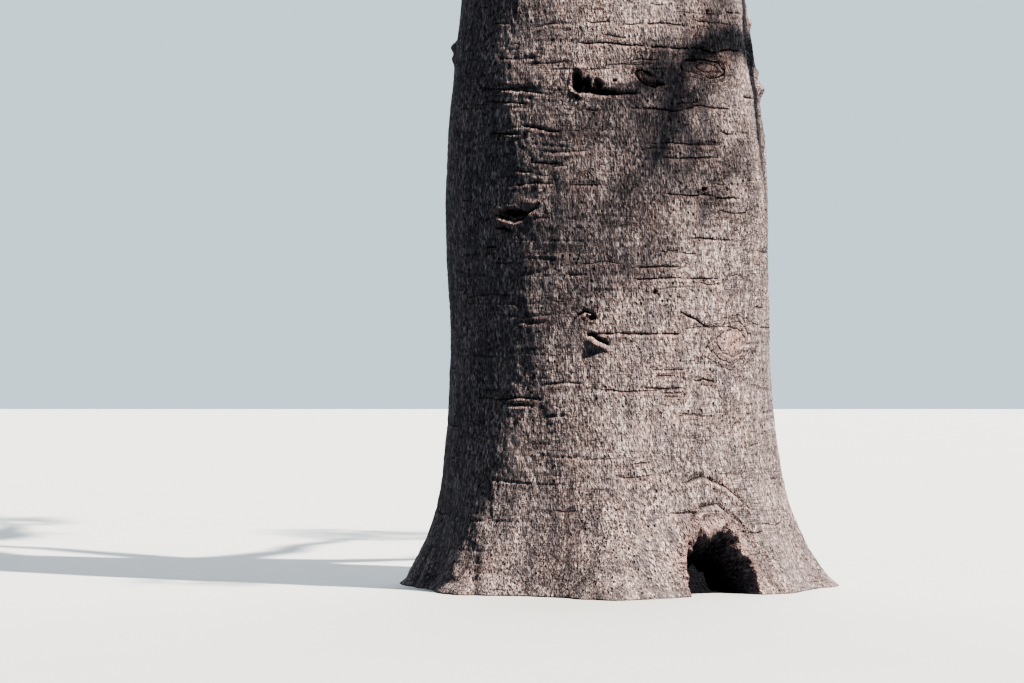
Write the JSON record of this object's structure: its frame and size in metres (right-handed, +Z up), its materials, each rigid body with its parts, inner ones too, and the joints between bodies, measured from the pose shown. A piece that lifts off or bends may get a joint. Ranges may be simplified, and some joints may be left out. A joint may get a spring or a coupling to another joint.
{
  "type": "baobab tree",
  "caption": "A whole leafless baobab: a stout tapering trunk with a flared and scarred foot, thick forking boughs and masses of bare twigs that make a broad round crown.",
  "frame": {"origin": "the middle of the flat cut under the trunk, at ground level", "axes": "+Z up, -Y towards the side that the picture shows, +X to the right of that view"},
  "size_m": [11.5217, 11.7227, 11.7132],
  "materials": {
    "trunk_bark": "dry dusty pinkish-grey bark with a fine upright grain, thin level wrinkles, small pits and scars",
    "bough_bark": "dry grey bark like the trunk's, smoother and a little paler",
    "twig_bark": "matt grey-brown bark of bare twigs"
  },
  "bodies": {
    "root": {"trunk": "trunk_bark", "bough_1": "bough_bark", "bough_1_left": "bough_bark", "bough_1_right": "bough_bark", "bough_1_upper": "bough_bark", "bough_2": "bough_bark", "bough_2_left": "bough_bark", "bough_2_right": "bough_bark", "bough_3": "bough_bark", "bough_3_left": "bough_bark", "bough_3_right": "bough_bark", "bough_3_upper": "bough_bark", "bough_4": "bough_bark", "bough_4_left": "bough_bark", "bough_4_right": "bough_bark", "bough_5": "bough_bark", "bough_5_left": "bough_bark", "bough_5_right": "bough_bark", "bough_5_upper": "bough_bark", "bough_6": "bough_bark", "bough_6_left": "bough_bark", "bough_6_right": "bough_bark", "leader": "bough_bark", "leader_left": "bough_bark", "leader_right": "bough_bark", "leader_upper": "bough_bark", "twigs_bough_1": "twig_bark", "twigs_bough_1_left": "twig_bark", "twigs_bough_1_right": "twig_bark", "twigs_bough_1_upper": "twig_bark", "twigs_bough_2": "twig_bark", "twigs_bough_2_left": "twig_bark", "twigs_bough_2_right": "twig_bark", "twigs_bough_3": "twig_bark", "twigs_bough_3_left": "twig_bark", "twigs_bough_3_right": "twig_bark", "twigs_bough_3_upper": "twig_bark", "twigs_bough_4": "twig_bark", "twigs_bough_4_left": "twig_bark", "twigs_bough_4_right": "twig_bark", "twigs_bough_5": "twig_bark", "twigs_bough_5_left": "twig_bark", "twigs_bough_5_right": "twig_bark", "twigs_bough_5_upper": "twig_bark", "twigs_bough_6": "twig_bark", "twigs_bough_6_left": "twig_bark", "twigs_bough_6_right": "twig_bark", "twigs_leader": "twig_bark", "twigs_leader_left": "twig_bark", "twigs_leader_right": "twig_bark", "twigs_leader_upper": "twig_bark"}
  },
  "joints": []
}
